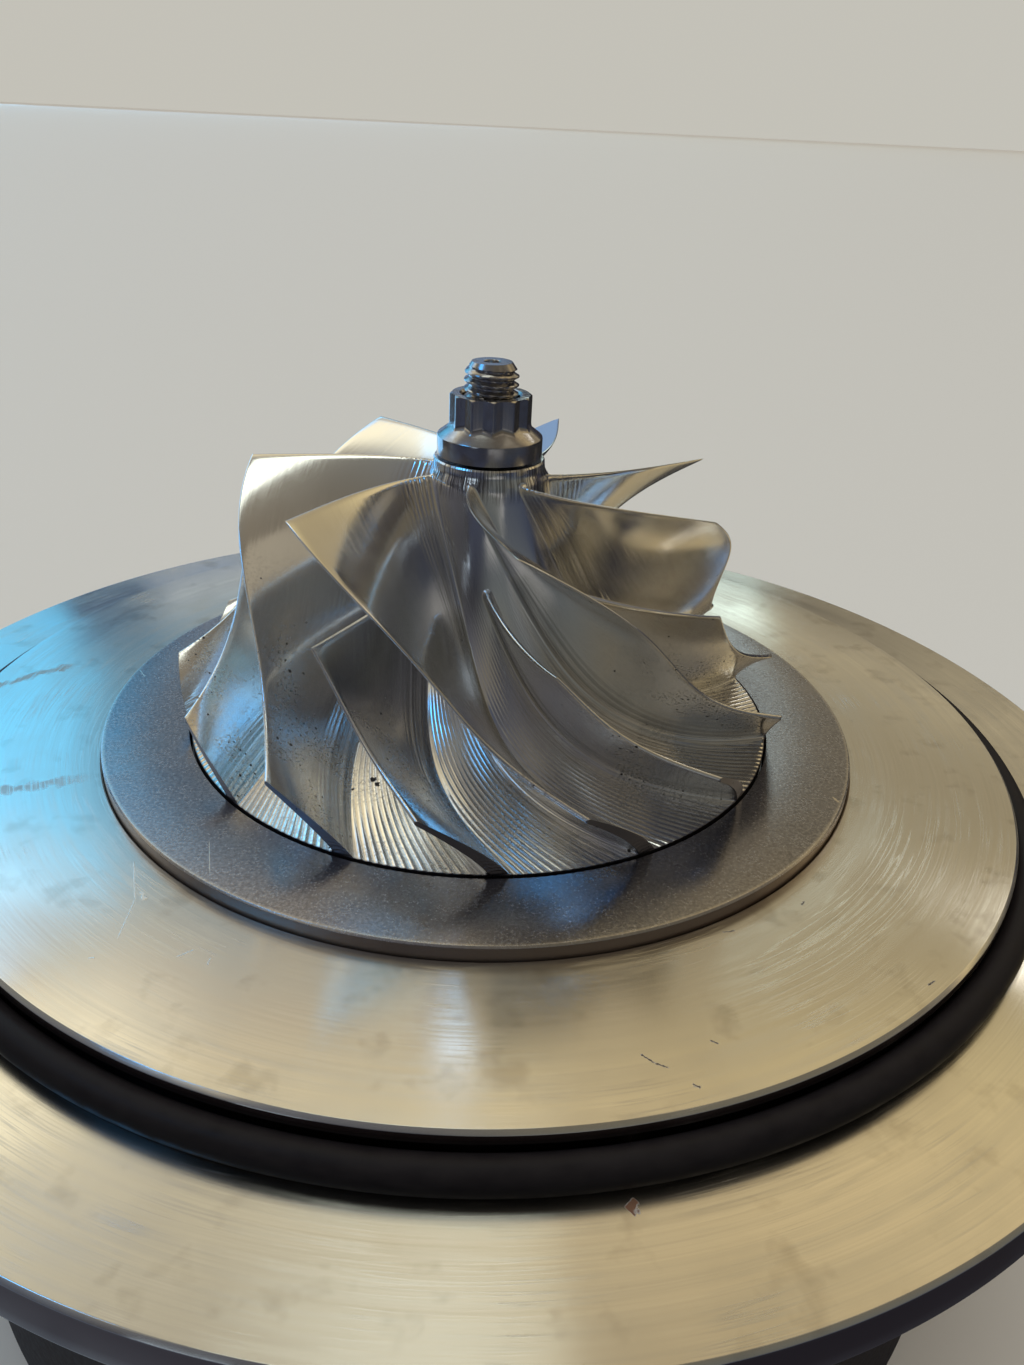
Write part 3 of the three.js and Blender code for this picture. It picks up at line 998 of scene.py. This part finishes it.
def rub_marks(look):
    """Mask of fine arcs where the plate has been rubbed: in one part of it, and here and there."""
    arcs = look.hairs(look.noise(look.around(0.8, 0.35), 2), 0.05)
    here = look.times(look.sector(-42, 27, 70, 6), 0.6)
    scattered = look.times(look.ramp(look.lumps(11, 2), 0.4, 0.7), 0.5)
    return look.times(arcs, look.either(here, scattered))


def turned_look():
    """Fine turned aluminium, handled and lightly scratched, with its upright walls painted darker as shade.
    """
    bare = (0.88, 0.86, 0.81)
    look = Look("turned_aluminium", bare, 1.0, 0.2)
    fine = look.noise(look.around(0.25, 0.35), 3)
    rings = look.noise(look.around(1.1, 1.6), 2)
    cloud = look.lumps(16, 4)
    arcs = rub_marks(look)
    scratches = look.strokes(PLATE_SCRATCHES)
    broken = look.ramp(look.noise(look.around(0.3, 0.2), 2), 0.3, 0.5)
    smears = look.times(look.strokes(PLATE_SMEARS), broken)
    dirt = look.either(look.strokes(PLATE_FIBRES), look.specks(9, 0.3, 0.5))
    crumb = look.ramp(look.strokes(FLANGE_CRUMB), 0.3, 0.5)
    look.set("Base Color", look.painted(
        bare,
        (look.ramp(cloud, 0.45, 0.75), (0.8, 0.77, 0.7)),
        (look.ramp(fine, 0.35, 0.65), (0.83, 0.81, 0.76)),
        (look.ramp(look.lumps(5, 3), 0.58, 0.74, 0, 0.3), (0.4, 0.36, 0.3)),
        (look.times(smears, 0.45), (0.3, 0.28, 0.27)),
        (look.either(scratches, look.times(arcs, 0.3)), (0.97, 0.96, 0.93)),
        (dirt, (0.06, 0.045, 0.035)),
        # Painted shade: upright walls are painted darker and browner than the level faces
        (look.ramp(look.steepness(), 0.8, 0.95), (0.26, 0.2, 0.19)),
        (crumb, (0.16, 0.08, 0.045)),
    ))
    look.set("Metallic", look.inverse(look.either(look.times(dirt, 0.8), crumb)))
    rough = look.plus(look.ramp(rings, 0.3, 0.7, 0.13, 0.18), look.ramp(cloud, 0.4, 0.7, 0, 0.05))
    marked = look.times(look.either(smears, scratches, arcs, crumb), 0.22)
    look.set("Roughness", look.plus(rough, marked, look.times(crumb, 0.5)))
    look.set("Anisotropic", 0.95)
    look.set("Anisotropic Rotation", 0.25)
    look.set("Tangent", look.add("ShaderNodeTangent", direction_type="RADIAL", axis="Z").outputs[0])
    look.bump((look.either(scratches, arcs), 0.007), (fine, 0.0014))
    return look.material


def ground_look():
    """Dull ground steel with a sparkling grain, a rubbed edge and a side wall painted brown as shade and as
    the warm plate's reflection.
    """
    look = Look("ground_steel", (0.45, 0.45, 0.46), 1.0, 0.32)
    grain = look.lumps(0.45, 4, 0.75)
    blotch = look.lumps(3, 3)
    stain = look.lumps(18, 4)
    wall = look.ramp(look.steepness(), 0.7, 0.9)
    edge = look.times(look.ramp(look.radius(), SEAL_RADIUS - 0.7, SEAL_RADIUS - 0.3), 0.5)
    look.set("Base Color", look.painted(
        (0.22, 0.225, 0.265),
        (look.ramp(stain, 0.3, 0.7), (0.28, 0.265, 0.28)),
        (look.ramp(grain, 0.4, 0.62), (0.43, 0.43, 0.47)),
        (look.either(look.strokes(SEAL_SCRATCHES), edge), (0.8, 0.75, 0.68)),
        # Painted shade and reflection: the upright side wall is painted warm brown for its shade and for
        # the beige plate it mirrors
        (wall, (0.27, 0.22, 0.195)),
        (look.specks(4, 0.22, 0.25), (0.12, 0.1, 0.09)),
    ))
    rough = look.plus(look.ramp(blotch, 0.3, 0.7, 0.2, 0.26), look.ramp(grain, 0.3, 0.7, -0.05, 0.06))
    look.set("Roughness", look.plus(rough, look.times(wall, 0.15)))
    look.bump((grain, 0.018))
    return look.material


def steel_look():
    """Polished and darkened steel of shaft and nut, with faint turned marks."""
    look = Look("dark_steel", (0.5, 0.49, 0.49), 1.0, 0.18)
    grain = look.noise(look.around(0.1, 0.5), 2)
    cloud = look.lumps(1.6, 3)
    look.set("Base Color", look.mix(look.ramp(cloud, 0.35, 0.7), (0.52, 0.51, 0.51), (0.4, 0.37, 0.36)))
    look.set("Roughness", look.plus(
        look.ramp(grain, 0.3, 0.7, 0.12, 0.2),
        look.ramp(cloud, 0.4, 0.7, 0, 0.08),
    ))
    look.bump((grain, 0.0015))
    return look.material


def rubber_look():
    """Dull black rubber with a little dust."""
    look = Look("ring_rubber", (0.012, 0.012, 0.012), 0.0, 0.5)
    dust = look.noise(look.scaled(look.place, (3, 3, 1)), 4)
    look.set("Base Color", look.mix(dust, (0.006, 0.005, 0.006), (0.018, 0.015, 0.015)))
    look.set("Roughness", look.ramp(dust, 0.3, 0.7, 0.38, 0.6))
    look.set("Specular IOR Level", 0.12)
    return look.material


def iron_look():
    """Dark and lumpy cast iron."""
    look = Look("cast_iron", (0.06, 0.052, 0.048), 0.6, 0.65)
    lumps = look.lumps(1.2, 5, 0.6)
    look.set("Base Color", look.mix(lumps, (0.04, 0.035, 0.032), (0.1, 0.085, 0.075)))
    look.set("Roughness", look.ramp(lumps, 0.3, 0.7, 0.55, 0.8))
    look.bump((lumps, 0.15))
    return look.material


# Surroundings

# Half the floor's width and the lights' distance from the wheel, in metres
FLOOR_HALF = 60.0
LIGHT_DISTANCE = 40.0


def make_floor():
    corners = [(x * FLOOR_HALF, y * FLOOR_HALF, 0) for x, y in ((-1, -1), (1, -1), (1, 1), (-1, 1))]
    mesh = bpy.data.meshes.new("floor")
    mesh.from_pydata(corners, [], [(0, 1, 2, 3)])
    mesh.materials.append(Look("pale_floor", (0.66, 0.63, 0.58), 0.0, 0.7).material)
    floor = in_scene("floor", mesh)
    floor.visible_glossy = False


# Colour of the room by tilt from the horizon behind the wheel (0) over the top (90) to the horizon in front
ROOM_LEFT = (
    (-90, (0.15, 0.18, 0.22)),
    (-10, (0.06, 0.05, 0.04)),
    (5, (0.05, 0.05, 0.05)),
    (18, (0.08, 0.11, 0.18)),
    (30, (0.14, 0.28, 0.4)),
    (36, (0.2, 0.3, 0.36)),
    (40, (0.64, 0.55, 0.43)),
    (46, (0.43, 0.37, 0.3)),
    (52, (0.86, 0.72, 0.46)),
    (60, (0.78, 0.7, 0.5)),
    (73, (0.22, 0.21, 0.2)),
    (100, (0.2, 0.2, 0.18)),
    (135, (0.13, 0.13, 0.15)),
    (165, (0.03, 0.03, 0.035)),
    (195, (0.06, 0.07, 0.11)),
)
ROOM_RIGHT = (
    (-90, (0.04, 0.04, 0.05)),
    (-10, (0.03, 0.03, 0.03)),
    (5, (0.03, 0.03, 0.05)),
    (16, (0.05, 0.05, 0.05)),
    (22, (0.58, 0.49, 0.32)),
    (30, (0.31, 0.26, 0.17)),
    (40, (0.38, 0.31, 0.19)),
    (46, (0.36, 0.29, 0.17)),
    (52, (0.62, 0.5, 0.27)),
    (60, (0.72, 0.56, 0.31)),
    (75, (0.26, 0.22, 0.16)),
    (100, (0.16, 0.14, 0.11)),
    (135, (0.16, 0.14, 0.1)),
    (165, (0.12, 0.13, 0.13)),
    (195, (0.05, 0.06, 0.09)),
)
ROOM_BLEND = 0.3
BACKDROP = (0.55, 0.535, 0.48)


def room_colour(nodes, turn, stops):
    """Colour by share of a full turn, from stops that start straight down and end at the first one."""
    node = nodes.add("ShaderNodeValToRGB", {"Fac": turn})
    elements = node.color_ramp.elements
    for degrees, _ in stops[1:]:
        elements.new((degrees + 90) / 360)
    for element, (_, colour) in zip(elements, stops + stops[:1]):
        element.color = (*colour, 1)
    return node.outputs["Color"]


def make_room():
    """A room that is dark in front and low down, cool on the left, warm on the right and brightest high up
    behind the wheel. The camera sees a plain backdrop in its place."""
    world = bpy.data.worlds.new("room")
    world.use_nodes = True
    nodes = Nodes(world.node_tree)
    towards = nodes.add("ShaderNodeTexCoord").outputs["Generated"]
    split = nodes.add("ShaderNodeSeparateXYZ", {0: towards}).outputs
    tilt = nodes.math("ARCTAN2", split["Z"], split["Y"])
    turn = nodes.math("FRACT", nodes.math("DIVIDE", nodes.plus(tilt, math.pi / 2), 2 * math.pi))
    to_right = nodes.ramp(split["X"], -ROOM_BLEND, ROOM_BLEND, kind="SMOOTHSTEP")
    left, right = [room_colour(nodes, turn, stops) for stops in (ROOM_LEFT, ROOM_RIGHT)]
    lit = nodes.tree.nodes["Background"]
    nodes.put(lit.inputs["Color"], nodes.mix(to_right, left, right))
    seen = nodes.add("ShaderNodeBackground", {"Color": BACKDROP})
    by_camera = nodes.add("ShaderNodeLightPath").outputs["Is Camera Ray"]
    either = nodes.add("ShaderNodeMixShader", {0: by_camera, 1: lit.outputs[0], 2: seen.outputs[0]})
    nodes.put(nodes.tree.nodes["World Output"].inputs["Surface"], either.outputs[0])
    bpy.context.scene.world = world


# Soft boxes: azimuth and elevation of the middle, width and height, in degrees as the wheel sees them, and
# radiance. Azimuth 0 is behind the wheel, positive to the right.
SOFT_BOXES = {
    "window_light": (-29.6, 31.7, 16, 11.4, (0.1, 0.58, 0.97)),
    "lower_window_light": (-35, 17, 19.5, 18, (0.1, 0.55, 0.9)),
    "side_window_light": (-51, 27, 26, 33, (0.2, 0.5, 0.85)),
    "low_window_light": (-40, -7, 38, 24, (0.5, 1.2, 2)),
    "ceiling_light": (-27, 79, 26, 13, (1.1, 1.18, 1.05), "ELLIPSE"),
    "high_left_light": (-104, 51, 16, 14, (0.15, 1.5, 3.6)),
    "left_wall_light": (-126, 42, 16, 18, (0.35, 0.3, 0.18)),
    "wall_light": (-9, 20.5, 19, 7, (0.58, 0.56, 0.48)),
    "far_window_light": (9, 22, 13, 10, (1, 1.35, 1.35)),
    "lamp_light": (-1.1, 44.5, 1.8, 5, (0.9, 1.5, 2.3)),
    "right_wall_light": (106, 62, 24, 18, (0.18, 0.16, 0.12)),
    "upper_wall_light": (-46, 47.5, 32, 8, (0.34, 0.34, 0.28)),
    "high_right_light": (45, 34, 7, 6, (2, 1.95, 1.8)),
    "low_left_light": (-148, 10, 12, 10, (0.7, 0.85, 1)),
    "low_far_light": (-10, 2, 22, 20, (0.18, 0.3, 0.5)),
    "front_light": (166, -2, 32, 12, (0.22, 0.21, 0.19)),
}


def direction(azimuth, elevation):
    """Unit vector from two angles in radians."""
    level_share = math.cos(elevation)
    return Vector((math.sin(azimuth) * level_share, math.cos(azimuth) * level_share, math.sin(elevation)))


def soft_box(name, azimuth, elevation, width, height, radiance, shape="RECTANGLE"):
    """An area light that faces the wheel and that the camera doesn't see."""
    away = direction(math.radians(azimuth), math.radians(elevation))
    data = bpy.data.lights.new(name, "AREA")
    data.shape = shape
    data.size = 2 * LIGHT_DISTANCE * math.tan(math.radians(width) / 2)
    data.size_y = 2 * LIGHT_DISTANCE * math.tan(math.radians(height) / 2)
    strongest = max(radiance)
    data.energy = math.pi * data.size * data.size_y * strongest
    data.color = [value / strongest for value in radiance]
    light = in_scene(name, data)
    light.location = Vector((0, 0, DECK * MM)) + away * LIGHT_DISTANCE
    light.rotation_euler = away.to_track_quat("Z", "Y").to_euler()
    light.visible_camera = False


def make_lights():
    """Soft boxes for the metal, and a broad light from above for the floor, which the metal doesn't mirror.
    The blades' faces mirror each other many times, so glossy light gets more bounces."""
    for name, values in SOFT_BOXES.items():
        soft_box(name, *values)
    data = bpy.data.lights.new("floor_light", "SUN")
    data.energy = 1.5
    data.angle = math.radians(80)
    in_scene("floor_light", data).visible_glossy = False
    bpy.context.scene.cycles.glossy_bounces = 10


# The photograph's viewpoint, solved from the coaxial circles of plates, rim and nut: focal length and
# picture height in pixels, turns in radians, and distance in front of the axis and height above the deck
FOCAL_PX = 1070.3
PHOTO_HEIGHT_PX = 1365
CAMERA_YAW = 0.0320281
CAMERA_PITCH = 0.481559
CAMERA_ROLL = 0.0482862
CAMERA_DISTANCE = 156.86
CAMERA_HEIGHT = 86.01
SENSOR_HEIGHT = 36


def make_camera():
    """The camera, and a view transform that keeps the metal's contrast."""
    forward = direction(CAMERA_YAW, -CAMERA_PITCH)
    level = forward.cross(Vector((0, 0, 1))).normalized()
    upright = level.cross(forward)
    right = math.cos(CAMERA_ROLL) * level + math.sin(CAMERA_ROLL) * upright
    up = -math.sin(CAMERA_ROLL) * level + math.cos(CAMERA_ROLL) * upright
    data = bpy.data.cameras.new("camera")
    data.sensor_fit = "VERTICAL"
    data.sensor_height = SENSOR_HEIGHT
    data.lens = FOCAL_PX * SENSOR_HEIGHT / PHOTO_HEIGHT_PX
    data.clip_start = 0.01
    camera = in_scene("camera", data)
    turn = Matrix((right, up, -forward)).transposed().to_4x4()
    place = Vector((0, -CAMERA_DISTANCE, DECK + CAMERA_HEIGHT)) * MM
    camera.matrix_world = Matrix.Translation(place) @ turn
    bpy.context.scene.camera = camera
    bpy.context.scene.view_settings.view_transform = "Standard"


make_camera()
make_floor()
make_room()
make_lights()

milled = wheel_look()
steel = steel_look()
make_housing(iron_look())
make_backplate(turned_look())
make_ring(rubber_look())
make_seal_plate(ground_look())
make_hub(milled)
make_blades(milled)
make_shaft(steel)
make_nut(steel)
